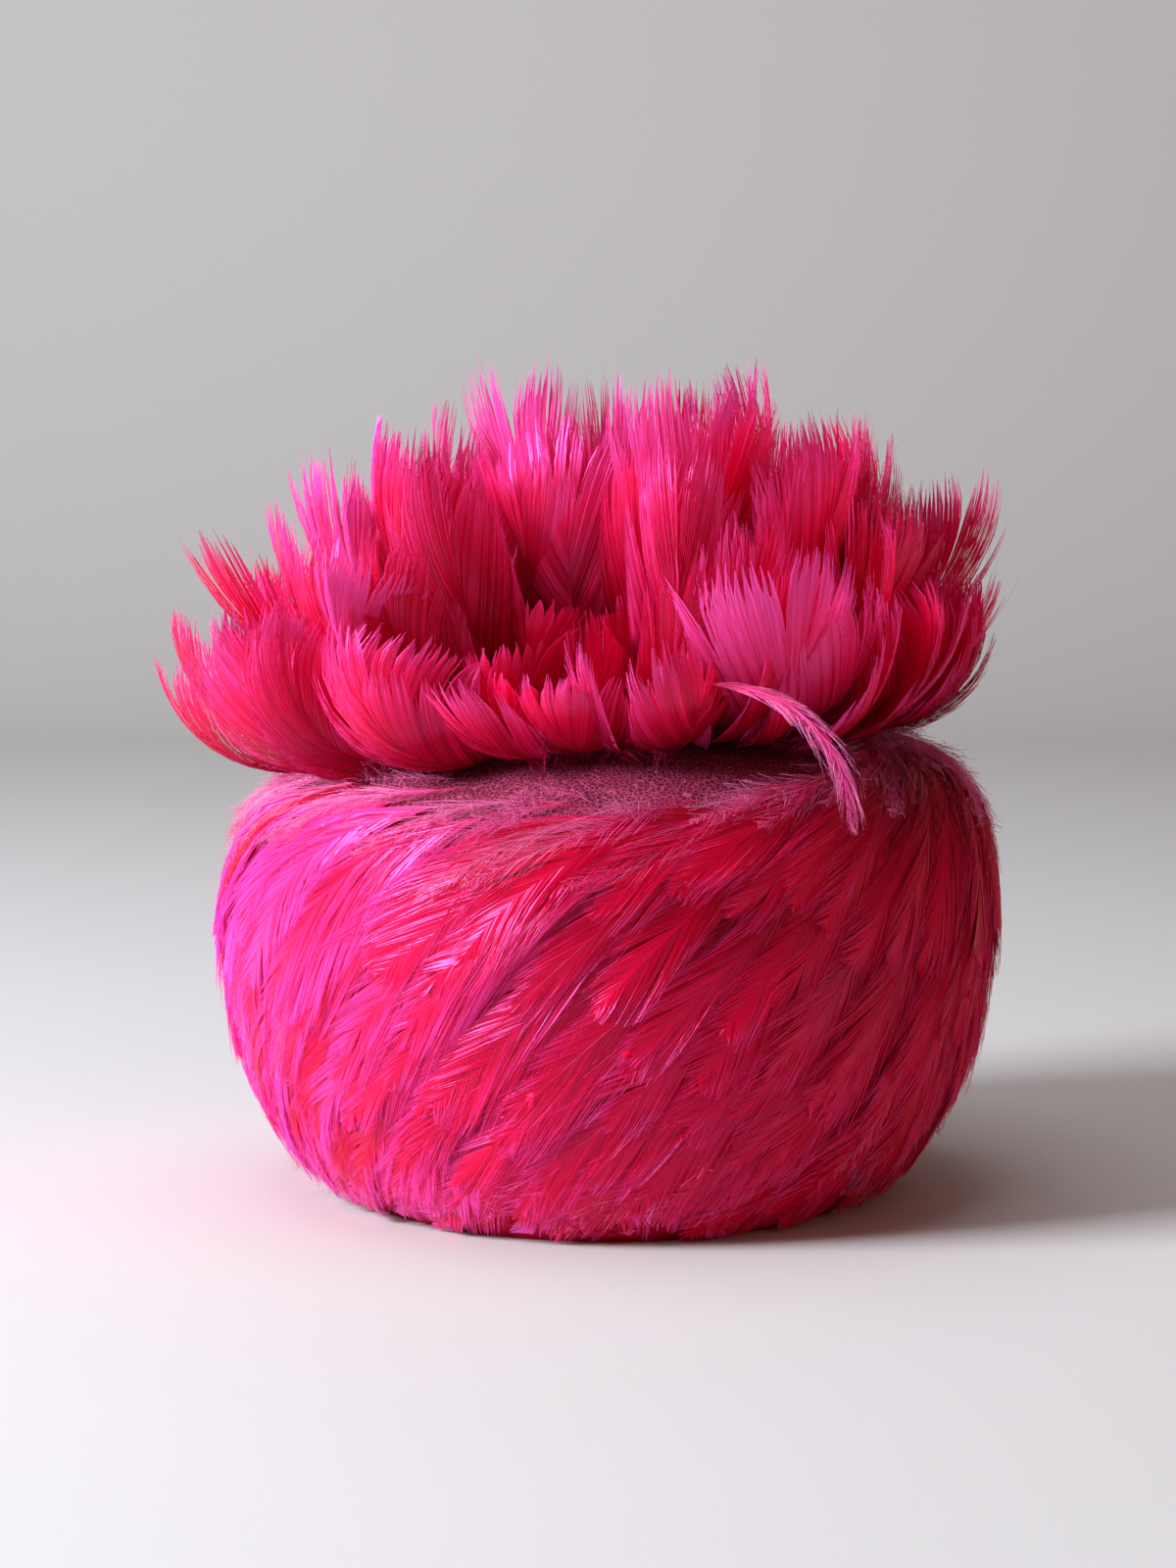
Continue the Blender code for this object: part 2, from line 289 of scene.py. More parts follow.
# How the colour takes: what a barb's own streak counts beside its place on the quill, where their sum goes
# from the deep colour, a painted shade towards the quill's foot, to the full dye, the sum of fray, streak
# and tone at which barbs turn to blush and then to pale, the tone carrying a painted highlight on the lit
# side, and the most that either tint covers.
STREAK_SHARE = 0.8
DEEP_AND_ROOT_SHADE_TO_FULL = (0.48, 1.18)
FULL_TO_BLUSH = (0.9, 1.8)
BLUSH_TO_PALE = (1.3, 2.4)
MOST_TINT = 0.9

# A hackle's tone by its luck, which gives at least this share, and by its side, a painted highlight that
# is
# paler where the light falls: what the shaded side has, what the lit side has on top and how late that
# comes.
LEAST_LUCK = 0.25
SHADED_SIDE_TONE = 0.10
LIT_SIDE_TONE = 1.9
LIT_LATE = 1.6

# A feather's place in its cell of the flat layout: half its width, its length and its margin.
FLAT_HALF_WIDTH = 0.40
FLAT_LENGTH = 0.88
FLAT_MARGIN = 0.03


def read_table(table, place):
    """The second column of a rising table where its first column reaches place."""
    for (start, low), (end, high) in zip(table, table[1:]):
        if place <= end:
            return low + (high - low) * (place - start) / (end - start)
    return table[-1][1]


def feather_tree(name, spread, reach, segments):
    """Geometry nodes that grow barbs on both sides of each quill line, in locks that split and
    fray towards their ends, with a fine shaft down the middle."""
    tree = bpy.data.node_groups.new(name, "GeometryNodeTree")
    tree.is_modifier = True
    tree.interface.new_socket("Quills", in_out="INPUT", socket_type="NodeSocketGeometry")
    for label, kind in (
        ("Barb spacing", "Float"), ("Bare share", "Float"), ("Shaft share", "Float"),
        ("Shaft radius", "Float"), ("Rifts", "Float"), ("Rift gather", "Float"), ("Rift split", "Float"),
        ("Lock width", "Float"), ("Gather", "Float"), ("Split", "Float"),
        ("Point", "Float"), ("Fray", "Float"), ("Fullness", "Float"), ("Taper", "Float"),
        ("Skew", "Float"), ("Bow", "Float"), ("Cup", "Float"), ("Lock lift", "Float"),
        ("Lock sway", "Float"), ("Tilt", "Float"), ("Rib width", "Float"), ("Rib depth", "Float"),
        ("Curl", "Float"),
        ("Lowest", "Float"), ("Cells", "Int"), ("Seed", "Int"), ("Material", "Material"),
    ):
        tree.interface.new_socket(label, in_out="INPUT", socket_type="NodeSocket" + kind)
    tree.interface.new_socket("Feathers", in_out="OUTPUT", socket_type="NodeSocketGeometry")
    given = add(tree, "NodeGroupInput").outputs
    out = add(tree, "NodeGroupOutput")

    def number(operation, *values):
        return add(tree, "ShaderNodeMath", *values, operation=operation).outputs[0]

    def held(name, kind="FLOAT"):
        return add(tree, "GeometryNodeInputNamedAttribute", name, data_type=kind).outputs[0]

    def hold(geometry, name, value, kind="FLOAT", domain="POINT"):
        return add(tree, "GeometryNodeStoreNamedAttribute", geometry, data_type=kind, domain=domain,
                   named={"Name": name, "Value": value})

    quills = add(tree, "GeometryNodeMeshToCurve", given["Quills"])
    roots = add(tree, "GeometryNodeResampleCurve", quills, mode="LENGTH",
                named={"Length": given["Barb spacing"]})
    along_quill = add(tree, "GeometryNodeSplineParameter").outputs
    roots = hold(roots, "root_at", along_quill["Length"])
    roots = hold(roots, "quill_length", add(tree, "GeometryNodeSplineLength").outputs["Length"])
    roots = hold(roots, "quill_number", add(tree, "GeometryNodeCurveOfPoint").outputs["Curve Index"])
    bears = number("MULTIPLY", number("GREATER_THAN", along_quill["Factor"], given["Bare share"]),
                   number("LESS_THAN", along_quill["Factor"], given["Shaft share"]))

    strip = add(tree, "GeometryNodeMeshGrid", 1.0, 1.0, 2, segments + 1)
    corner = add(tree, "ShaderNodeSeparateXYZ", add(tree, "GeometryNodeInputPosition"))
    strip = hold(strip, "across", corner.outputs["X"])
    strip = hold(strip, "along", number("ADD", corner.outputs["Y"], 0.5))
    right = hold(strip, "side", 1.0)
    left = hold(add(tree, "GeometryNodeFlipFaces", strip), "side", -1.0)
    pair = add(tree, "GeometryNodeJoinGeometry")
    tree.links.new(right.outputs[0], pair.inputs[0])
    tree.links.new(left.outputs[0], pair.inputs[0])
    barbs = add(tree, "GeometryNodeInstanceOnPoints", roots, bears, pair)
    barbs = add(tree, "GeometryNodeRealizeInstances", barbs)

    across, along, side = held("across"), held("along"), held("side")
    root_at, length, serial = held("root_at"), held("quill_length"), held("quill_number")
    half_width, tone = held("half_width"), held("tone")
    borne = number("MULTIPLY", length, number("SUBTRACT", given["Shaft share"], given["Bare share"]))
    start = number("MULTIPLY", length, given["Bare share"])
    share = number("DIVIDE", number("SUBTRACT", root_at, start), borne)
    seeded = number("ADD", serial, number("MULTIPLY", given["Seed"], FEATHER_SALT))

    wander = add(tree, "ShaderNodeTexNoise", noise_dimensions="3D", named={
        "Vector": add(tree, "ShaderNodeCombineXYZ", number(
            "MULTIPLY", share, LOCK_SWELLS), side, seeded),
        "Scale": 1.0, "Detail": 1.0,
    })
    wandered = number("ADD", share, number("MULTIPLY", number(
        "SUBTRACT", wander.outputs[0], 0.5), LOCK_WANDER))

    def locks_of(count, salt):
        """How far a barb is from its lock's middle, from -0.5 to 0.5, and the lock's own luck."""
        counted = number("MULTIPLY", count, wandered)
        lock = number("FLOOR", counted)
        luck = add(tree, "ShaderNodeTexWhiteNoise", add(
            tree, "ShaderNodeCombineXYZ", lock, side, number("ADD", seeded, salt)), noise_dimensions="3D")
        return number("SUBTRACT", number("SUBTRACT", counted, lock), 0.5), add(
            tree, "ShaderNodeSeparateXYZ", luck.outputs["Color"]).outputs

    locks = number("MAXIMUM", number("DIVIDE", borne, given["Lock width"]), 1.0)
    rifts = number("ADD", given["Rifts"], tone)
    off_middle, lock_luck = locks_of(locks, LOCK_SALT)
    off_rift, rift_luck = locks_of(rifts, RIFT_SALT)
    edge = number("POWER", number("MULTIPLY", number("ABSOLUTE", off_middle), 2.0), 2.0)
    rift_edge = number("POWER", number("MULTIPLY", number("ABSOLUTE", off_rift), 2.0), 3.0)
    barb_luck = add(tree, "ShaderNodeSeparateXYZ", add(
        tree, "ShaderNodeTexWhiteNoise", add(tree, "ShaderNodeCombineXYZ", number(
            "MULTIPLY", root_at, BARB_SALT), side, seeded),
        noise_dimensions="3D").outputs["Color"]).outputs

    rib = add(tree, "ShaderNodeTexNoise", noise_dimensions="3D", named={
        "Vector": add(tree, "ShaderNodeCombineXYZ", number(
            "DIVIDE", root_at, given["Rib width"]), side, seeded),
        "Scale": 1.0, "Detail": 2.0,
    }).outputs[0]

    shorter = number("ADD", number("MULTIPLY", number("ADD", edge, rift_edge), given["Point"]), number(
        "MULTIPLY", barb_luck[0], given["Fray"]))
    longer = number("MULTIPLY", number("SUBTRACT", number(
        "ADD", lock_luck[0], rift_luck[0]), 1.2), given["Point"])
    travel = number("MULTIPLY", along, number("ADD", number("SUBTRACT", 1.0, shorter), longer))
    late = number("POWER", along, number("MULTIPLY", number("MULTIPLY", given["Split"], number(
        "ADD", tone, 0.45)), number("ADD", lock_luck[1], 0.5)))
    parted = number("POWER", along, number("MULTIPLY", given["Rift split"], number(
        "ADD", rift_luck[1], 0.5)))
    narrowed = number("MULTIPLY", given["Fullness"], number("SUBTRACT", BARB_ROOT_WIDTH, number(
        "MULTIPLY", number("POWER", along, given["Taper"]), BARB_THINNING)))
    step = number("DIVIDE", given["Barb spacing"], borne)
    own = number("ADD", share, number("MULTIPLY", number("MULTIPLY", across, step), narrowed))
    to_middle = number("DIVIDE", number("MULTIPLY", off_middle, number(
        "MULTIPLY", late, given["Gather"])), locks)
    to_rift = number("DIVIDE", number("MULTIPLY", off_rift, number(
        "MULTIPLY", parted, given["Rift gather"])), rifts)
    own = add(tree, "ShaderNodeClamp", number("SUBTRACT", number(
        "SUBTRACT", own, to_middle), to_rift), 0.0, 1.0).outputs[0]

    def shaped(points, value):
        drawn = add(tree, "ShaderNodeFloatCurve", 1.0, value)
        line = drawn.mapping.curves[0]
        line.points[0].location, line.points[-1].location = points[0], points[-1]
        for place in points[1:-1]:
            line.points.new(*place)
        drawn.mapping.update()
        return drawn.outputs[0]

    rooted = number("ADD", start, number("MULTIPLY", own, borne))
    skewed = number("ADD", 1.0, number("MULTIPLY", side, number("MULTIPLY", number(
        "SUBTRACT", tone, 0.5), given["Skew"])))
    end_out = number("MULTIPLY", number("MULTIPLY", half_width, skewed), shaped(spread, own))
    end_on = number("MULTIPLY", length, shaped(reach, own))
    sway = number("MULTIPLY", number("MULTIPLY", number("SUBTRACT", rift_luck[2], 0.5), parted),
                  number("MULTIPLY", half_width, given["Lock sway"]))
    bowed = number("SUBTRACT", 1.0, number("POWER", number("MAXIMUM", number(
        "SUBTRACT", 1.0, travel), 0.0), given["Bow"]))
    phase = number("MULTIPLY", barb_luck[2], CURL_STARTS)
    swing = number("MULTIPLY", number("MULTIPLY", along, given["Curl"]), number(
        "SINE", number("ADD", phase, number("MULTIPLY", along, CURL_SIDEWAYS))))
    nod = number("MULTIPLY", number("MULTIPLY", along, given["Curl"]), number(
        "COSINE", number("ADD", phase, number("MULTIPLY", along, CURL_NOD))))
    outward = number("ADD", number("MULTIPLY", end_out, bowed), number("ADD", sway, swing))
    onward = number("ADD", rooted, number("MULTIPLY", number("SUBTRACT", end_on, rooted), travel))
    cupped = number("MULTIPLY", given["Cup"], number(
        "DIVIDE", number("MULTIPLY", outward, outward), half_width))
    lifted = number("MULTIPLY", number("MULTIPLY", number("SUBTRACT", rift_luck[0], 0.4), parted),
                    given["Lock lift"])
    strayed = number("MULTIPLY", number("MULTIPLY", number("SUBTRACT", lock_luck[2], 0.5), late),
                     number("MULTIPLY", given["Lock lift"], 0.4))
    ribbed = number("MULTIPLY", number("MULTIPLY", number("SUBTRACT", rib, 0.5), given["Rib depth"]),
                    number("POWER", along, 0.5))
    shingled = number("MULTIPLY", number("MULTIPLY", across, given["Barb spacing"]), number(
        "MULTIPLY", given["Tilt"], number("MULTIPLY", number("SUBTRACT", barb_luck[0], 0.5), 2.0)))
    height = number("ADD", number("ADD", number("ADD", cupped, lifted), number(
        "ADD", strayed, shingled)), number("ADD", ribbed, nod))

    face = held("face", "FLOAT_VECTOR")
    spot = add(tree, "GeometryNodeSampleCurve", mode="LENGTH", data_type="FLOAT_VECTOR", named={
        "Curves": quills.outputs[0], "Value": face, "Length": onward, "Curve Index": serial,
    })
    spot.use_all_curves = False
    up = add(tree, "ShaderNodeVectorMath", spot.outputs["Value"], operation="NORMALIZE")
    crossing = add(tree, "ShaderNodeVectorMath", spot.outputs["Tangent"], up, operation="CROSS_PRODUCT")
    beside = add(tree, "ShaderNodeVectorMath", crossing, operation="NORMALIZE")
    beyond = number("MAXIMUM", number("SUBTRACT", onward, length), 0.0)
    place = spot.outputs["Position"]
    for direction, distance in (
        (beside, number("MULTIPLY", outward, side)), (up, height), (spot.outputs["Tangent"], beyond),
    ):
        moved = add(tree, "ShaderNodeVectorMath", direction, operation="SCALE", named={"Scale": distance})
        place = add(tree, "ShaderNodeVectorMath", place, moved, operation="ADD").outputs[0]
    barbs = add(tree, "GeometryNodeSetPosition", barbs, named={"Position": place})
    barbs = hold(barbs, "barb_share", along)
    barbs = hold(barbs, "quill_share", number("DIVIDE", onward, length))
    barbs = hold(barbs, "strand", number("ADD", number("MULTIPLY", barb_luck[2], BARB_STREAK), number(
        "ADD", number("MULTIPLY", rib, RIB_STREAK), number("MULTIPLY", lock_luck[2], LOCK_STREAK))))
    barbs = hold(barbs, "sideways", number("DIVIDE", number("MULTIPLY", outward, side), half_width))

    shaft = add(tree, "GeometryNodeTrimCurve", quills, mode="FACTOR", named={"End": given["Shaft share"]})
    thinner = number("SUBTRACT", 1.0, number("MULTIPLY", along_quill["Factor"], SHAFT_THINNING))
    shaft = hold(shaft, "quill_share", number("MULTIPLY", along_quill["Factor"], given["Shaft share"]))
    shaft = hold(shaft, "quill_number", add(tree, "GeometryNodeCurveOfPoint").outputs["Curve Index"])
    rod = add(tree, "GeometryNodeCurvePrimitiveCircle", mode="RADIUS",
              named={"Resolution": 3, "Radius": 1.0})
    shaft = add(tree, "GeometryNodeCurveToMesh", shaft, rod.outputs["Curve"], named={
        "Scale": number("MULTIPLY", thinner, given["Shaft radius"]), "Fill Caps": True})
    shaft = hold(shaft, "strand", SHAFT_STREAK)
    feathers = add(tree, "GeometryNodeJoinGeometry")
    tree.links.new(barbs.outputs[0], feathers.inputs[0])
    tree.links.new(shaft.outputs[0], feathers.inputs[0])

    cells = given["Cells"]
    column = number("MODULO", held("quill_number"), cells)
    row = number("FLOOR", number("DIVIDE", number("ADD", held("quill_number"), 0.5), cells))
    flat_u = number("DIVIDE", number("ADD", column, number("ADD", number(
        "MULTIPLY", held("sideways"), FLAT_HALF_WIDTH), 0.5)), cells)
    flat_v = number("DIVIDE", number("ADD", row, number("ADD", number(
        "MULTIPLY", held("quill_share"), FLAT_LENGTH), FLAT_MARGIN)), cells)
    laid_out = add(tree, "ShaderNodeCombineXYZ", flat_u, flat_v)
    feathers = hold(feathers, "OFBake", laid_out, "FLOAT2", "CORNER")
    there = add(tree, "ShaderNodeSeparateXYZ", add(tree, "GeometryNodeInputPosition")).outputs
    raised = add(tree, "ShaderNodeCombineXYZ", there[0], there[1], number(
        "MAXIMUM", there[2], given["Lowest"]))
    feathers = add(tree, "GeometryNodeSetPosition", feathers, named={"Position": raised})
    for spent in (
        "across", "along", "side", "root_at", "quill_length", "quill_number", "half_width", "face",
    ):
        feathers = add(tree, "GeometryNodeRemoveAttribute", feathers, named={"Name": spent})
    feathers = add(tree, "GeometryNodeSetMaterial", feathers, named={"Material": given["Material"]})
    tree.links.new(feathers.outputs[0], out.inputs[0])
    return tree


def quill_mesh(name, quills):
    """Quill lines as one mesh of edges. A quill is its points, its faces' directions, the half
    width of its vane and its tone."""
    mesh = bpy.data.meshes.new(name)
    points = [point for quill in quills for point in quill["points"]]
    edges, first = [], 0
    for quill in quills:
        count = len(quill["points"])
        edges += [(first + step, first + step + 1) for step in range(count - 1)]
        first += count
    mesh.from_pydata(points, edges, [])
    face = mesh.attributes.new("face", "FLOAT_VECTOR", "POINT")
    ways = [part for quill in quills for way in quill["faces"] for part in way]
    face.data.foreach_set("vector", ways)
    for label in ("half_width", "tone"):
        values = [quill[label] for quill in quills for _ in quill["points"]]
        mesh.attributes.new(label, "FLOAT", "POINT").data.foreach_set("value", values)
    return mesh


def grown(name, quills, tree, material, sizes):
    """The feathers that a tree grows on quill lines, as one plain mesh."""
    holder = bpy.data.objects.new(name, quill_mesh(name, quills))
    bpy.context.scene.collection.objects.link(holder)
    growth = holder.modifiers.new("feathers", "NODES")
    growth.node_group = tree
    values = dict(sizes, Material=material, Cells=math.ceil(math.sqrt(len(quills))))
    for item in tree.interface.items_tree:
        if item.in_out == "INPUT" and item.name in values:
            growth[item.identifier] = values[item.name]
    return finished_mesh(holder)


def feather_material(name, deep_and_root_shade, ink, blush, pale, shine, roughness, gloss, through):
    """Dyed feather: silky keratin barbs that gloss along their length, let some light through, take the
    dye unevenly from barb to barb, are deeper towards the quill's foot as a painted shade, and turn to
    blush and then pale where they fray, where their streak is light and where their tone is high, which on
    the lit side is a painted highlight."""
    made, tree, out = new_material(name)
    quill = add(tree, "ShaderNodeAttribute", attribute_name="quill_share").outputs["Fac"]
    barb = add(tree, "ShaderNodeAttribute", attribute_name="barb_share").outputs["Fac"]
    strand = add(tree, "ShaderNodeAttribute", attribute_name="strand").outputs["Fac"]
    tone = add(tree, "ShaderNodeAttribute", attribute_name="tone").outputs["Fac"]
    streaked = add(tree, "ShaderNodeMath", strand, STREAK_SHARE, quill, operation="MULTIPLY_ADD")
    # Deeper towards the quill's foot and in dark streaks: towards the foot this is painted shade.
    clear_of_root_shade = add(tree, "ShaderNodeMapRange", streaked, *DEEP_AND_ROOT_SHADE_TO_FULL, 0.0, 1.0)
    dye_and_root_shade = add(tree, "ShaderNodeMix", clear_of_root_shade, data_type="RGBA", named={6: linear(deep_and_root_shade), 7: linear(ink)})
    frayed = add(tree, "ShaderNodeMath", barb, 2.0, operation="POWER")
    uneven = add(tree, "ShaderNodeMath", strand, tone, operation="ADD")
    # The tone is higher on the lit side, so there the blush and pale tints are painted highlight.
    fray_streak_and_lit_tone = add(tree, "ShaderNodeMath", frayed, uneven, operation="ADD")
    lighter = add(tree, "ShaderNodeMapRange", fray_streak_and_lit_tone, *FULL_TO_BLUSH, 0.0, MOST_TINT)
    blushed = add(tree, "ShaderNodeMix", lighter, data_type="RGBA",
                  named={6: dye_and_root_shade.outputs[2], 7: linear(blush)})
    lightest = add(tree, "ShaderNodeMapRange", fray_streak_and_lit_tone, *BLUSH_TO_PALE, 0.0, MOST_TINT)
    pale_tinted = add(tree, "ShaderNodeMix", lightest, data_type="RGBA",
                   named={6: blushed.outputs[2], 7: linear(pale)})
    shader = add(tree, "ShaderNodeBsdfPrincipled", named={
        "Base Color": pale_tinted.outputs[2], "Roughness": roughness, "IOR": 1.54,
        "Specular IOR Level": gloss, "Specular Tint": linear(shine),
        "Sheen Weight": 0.06, "Sheen Roughness": 0.3, "Sheen Tint": linear(shine),
    })
    glow = add(tree, "ShaderNodeBsdfTranslucent", pale_tinted.outputs[2])
    both = add(tree, "ShaderNodeMixShader", through, shader, glow)
    tree.links.new(both.outputs[0], out.inputs[0])
    return made


def hackle_start(place, down):
    """Where a hackle's quill is fixed: a place round the hat, and a distance down the form's side
    from the shoulder, less than nothing over the shoulder."""
    around = math.radians(place)
    outward = Vector((math.sin(around), -math.cos(around), 0.0))
    middle = Vector((0.0, 0.0, form_high.z - WALK_START))
    hit = form_surface.ray_cast(middle + outward * FAR_OUT, -outward)[0]
    walked = 0.0
    aim = -down_the_form(*form_surface.find_nearest(hit)[:2])
    dip = FRONT_DIP * math.exp(-((place - FRONT_DIP_PLACE) / FRONT_DIP_WIDTH) ** 2)
    top = form_high.z - EDGE_DEPTH - dip + hit.x * EDGE_RISE
    while hit.z < top and aim.z > DOME_SLOPE:
        hit, normal = form_surface.find_nearest(hit + aim * HACKLE_STEP)[:2]
        aim = -down_the_form(hit, normal)
    while walked < down:
        hit, normal = form_surface.find_nearest(hit - aim * HACKLE_STEP)[:2]
        aim = -down_the_form(hit, normal)
        walked += HACKLE_STEP
    return hit


def down_the_form(point, normal):
    """The direction down the form's side at a point of it."""
    fall = Vector((point.x, point.y, 0.0)).normalized() * 0.5 - Vector((0.0, 0.0, 1.0))
    return (fall - normal * fall.dot(normal)).normalized()


def hackle_quill(start, length, half_width, roll, swing, tone, lowest=0.0):
    """A quill that runs over the form from its start, slanting as the hackles there do, and ends
    no lower than lowest."""
    steps = int(length / HACKLE_STEP)
    point, normal = form_surface.find_nearest(start)[:2]
    walked = []
    for step in range(steps + 1):
        walked.append((point.copy(), normal.copy()))
        place = math.degrees(math.atan2(point.x, -point.y))
        lying = LYING_TURN * max(0.0, 1 - max(0.0, form_high.z - point.z) / (2 * LYING_EDGE))
        fall = math.radians(read_table(HACKLE_SLANT, place) - lying + swing * (step / steps - 0.5))
        down = down_the_form(point, normal)
        sideways = down.cross(normal)
        way = down * math.sin(fall) + sideways * math.cos(fall)
        point, normal = form_surface.find_nearest(point + way * HACKLE_STEP)[:2]
        if point.z < FLOOR_CLEARANCE + lowest:
            break
    last = len(walked) - 1
    kept = [round(number * last / (HACKLE_POINTS - 1)) for number in range(HACKLE_POINTS)]
    points, faces = [], []
    for number, place in enumerate(kept):
        spot, out = walked[place]
        share = number / (HACKLE_POINTS - 1)
        lift = HACKLE_ROOT_LIFT + (HACKLE_TIP_LIFT - HACKLE_ROOT_LIFT) * share
        lift *= 0.5 + 0.5 * min(1.0, spot.z / FULL_LIFT_HEIGHT)
        following = walked[min(place + 1, last)][0] - walked[max(place - 1, 0)][0]
        points.append(spot + out * lift)
        faces.append(Matrix.Rotation(roll, 3, following.normalized()) @ out)
    return {"points": points, "faces": faces, "half_width": half_width, "tone": tone}


hackle = feather_material(
    "dyed_cock_hackle", HACKLE_DEEP_AND_ROOT_SHADE, HACKLE_INK, HACKLE_BLUSH, HACKLE_PALE, SHINE,
    roughness=0.27, gloss=0.8, through=0.28,
)
hackle_tree = feather_tree("hackle_feathers", HACKLE_SPREAD, HACKLE_REACH, 3)
hackle_sizes = {
    "Barb spacing": HACKLE_SPACING, "Bare share": 0.02, "Shaft share": 0.985, "Shaft radius": 0.00026,
    "Rifts": 4.0, "Rift gather": 0.22, "Rift split": 2.0, "Lock width": 0.0034, "Gather": 0.50,
    "Split": 2.6, "Point": 0.05, "Fray": 0.30, "Fullness": 1.0, "Taper": 1.6, "Skew": 0.0, "Bow": 1.25,
    "Cup": -0.10, "Lock lift": 0.0024, "Lock sway": 0.22, "Tilt": 0.12, "Rib width": 0.0016,
    "Rib depth": 0.0007, "Curl": 0.0, "Lowest": FLOOR_CLEARANCE, "Seed": 3,
}
chance = random.Random(11)
row_number = 0
for tier, in_a_row in HACKLE_TIERS:
    quills = []
    for _ in range(ROWS_IN_A_TIER):
        for number in range(in_a_row):
            place = (number + 0.5 * (row_number % 2) + chance.uniform(-0.5, 0.5)) * 360 / in_a_row - 180
            down = row_number * HACKLE_ROW_STEP + chance.uniform(-HACKLE_DRIFT, HACKLE_DRIFT)
            # The side where the light falls, -X, is paler: a painted highlight.
            paler = 0.5 - 0.5 * math.sin(math.radians(place))
            side_light_tone = SHADED_SIDE_TONE + LIT_SIDE_TONE * paler ** LIT_LATE
            quills.append(hackle_quill(
                hackle_start(place, down), HACKLE_LENGTH * chance.uniform(*HACKLE_LENGTHS),
                HACKLE_HALF_WIDTH * chance.uniform(*HACKLE_WIDTHS),
                math.radians(chance.uniform(*HACKLE_ROLL)), chance.uniform(-HACKLE_SWING, HACKLE_SWING),
                (LEAST_LUCK + (1 - LEAST_LUCK) * chance.random()) * side_light_tone,
                chance.uniform(*RAGGED_EDGE),
            ))
        row_number += 1
    band = grown("hackles_" + tier, quills, hackle_tree, hackle, hackle_sizes)
    put_up("hackles_" + tier, band, "hackle_feather", "hackle_tier_" + tier)


# The goose ruffle
# Rings of goose nagoire, stripped, dyed and curled over a knife so that they stand up cupped. The
# quills are bound in tapes that are sewn to the crown, one ring inside the other.

# The goose feathers' colours, as the hackle's: the deep one is painted shade towards the quill's foot, and
# the pale one is partly a painted highlight on the lit side.
GOOSE_DEEP_AND_ROOT_SHADE = "#86000a"
GOOSE_INK = "#e80036"
GOOSE_BLUSH = "#ff2c7c"
GOOSE_PALE = "#ff60c6"
GOOSE_SPACING = 0.00038
GOOSE_POINTS = 16
BINDING_LIFT = 0.002

# A goose feather's outline, given as the hackle's is. Its barbs run up beside the quill and end
# blunt.
GOOSE_SPREAD = (
    (0.0, 0.46), (0.07, 0.72), (0.18, 0.94), (0.36, 1.00), (0.60, 0.76), (0.82, 0.40), (1.0, 0.02),
)
GOOSE_REACH = (
    (0.0, 0.16), (0.07, 0.36), (0.18, 0.64), (0.36, 0.86), (0.60, 0.96), (0.82, 0.995), (1.0, 1.00),
)

# The rings from the outside in: the hoop's radius as a share of the form's half width, how many
# feathers, their length and half width, and their slope at the quill and at the tip in degrees.
GOOSE_RINGS = (
    # ring, radius, feathers, length, half width, slope at quill, slope at tip
    ("skirt", 0.62, 32, 0.084, 0.023, -22, 110),
    ("outer", 0.49, 29, 0.094, 0.024, 2, 104),
    ("middle", 0.34, 24, 0.102, 0.024, 26, 106),
    ("inner", 0.20, 17, 0.101, 0.023, 50, 90),
    ("heart", 0.09, 9, 0.099, 0.020, 68, 88),
)

# What single feathers have: shares of the ring's radius, length and width, what is added to its
# slopes, and how far they turn about their quills and sway, in degrees.
GOOSE_RADII = (0.92, 1.06)
GOOSE_LENGTHS = (0.80, 1.07)
GOOSE_WIDTHS = (0.65, 1.15)
QUILL_SLOPES = (-9, 14)
TIP_SLOPES = (-24, 18)
GOOSE_TURN = (-26, 42)
GOOSE_SWAY = 36

# A feather's tone: by how much more the side where the light falls has, a painted highlight, what the
# ruffle's middle has, and how that falls off outwards.
LIT_SIDE = 0.3
HEART_TONE = 1.12
TONE_FALL = 1.1

# The feathers part at this place of the front and sweep away from it to both sides, by these
# degrees and over this width. There the ruffle opens on a dark hollow: feathers are shorter by up
# to the hollow's depth, and in its gap by a fixed share.
PARTING = -8
SWEEP_LEFT = 125
SWEEP_RIGHT = 34
PARTING_WIDTH = 60
HOLLOW_WIDTH = 22
HOLLOW_DEPTH = 0.45
HOLLOW_GAP = 15
HOLLOW_SHORT = 0.52
HOLLOW_RINGS = ("skirt", "outer", "middle")

# At the front left the feathers turn their broad sides to the front. The whole crown leans.
TURNED_PLACE = -60
TURNED_WIDTH = 50
TURNED = 34
CROWN_LEAN = math.radians(3.0)


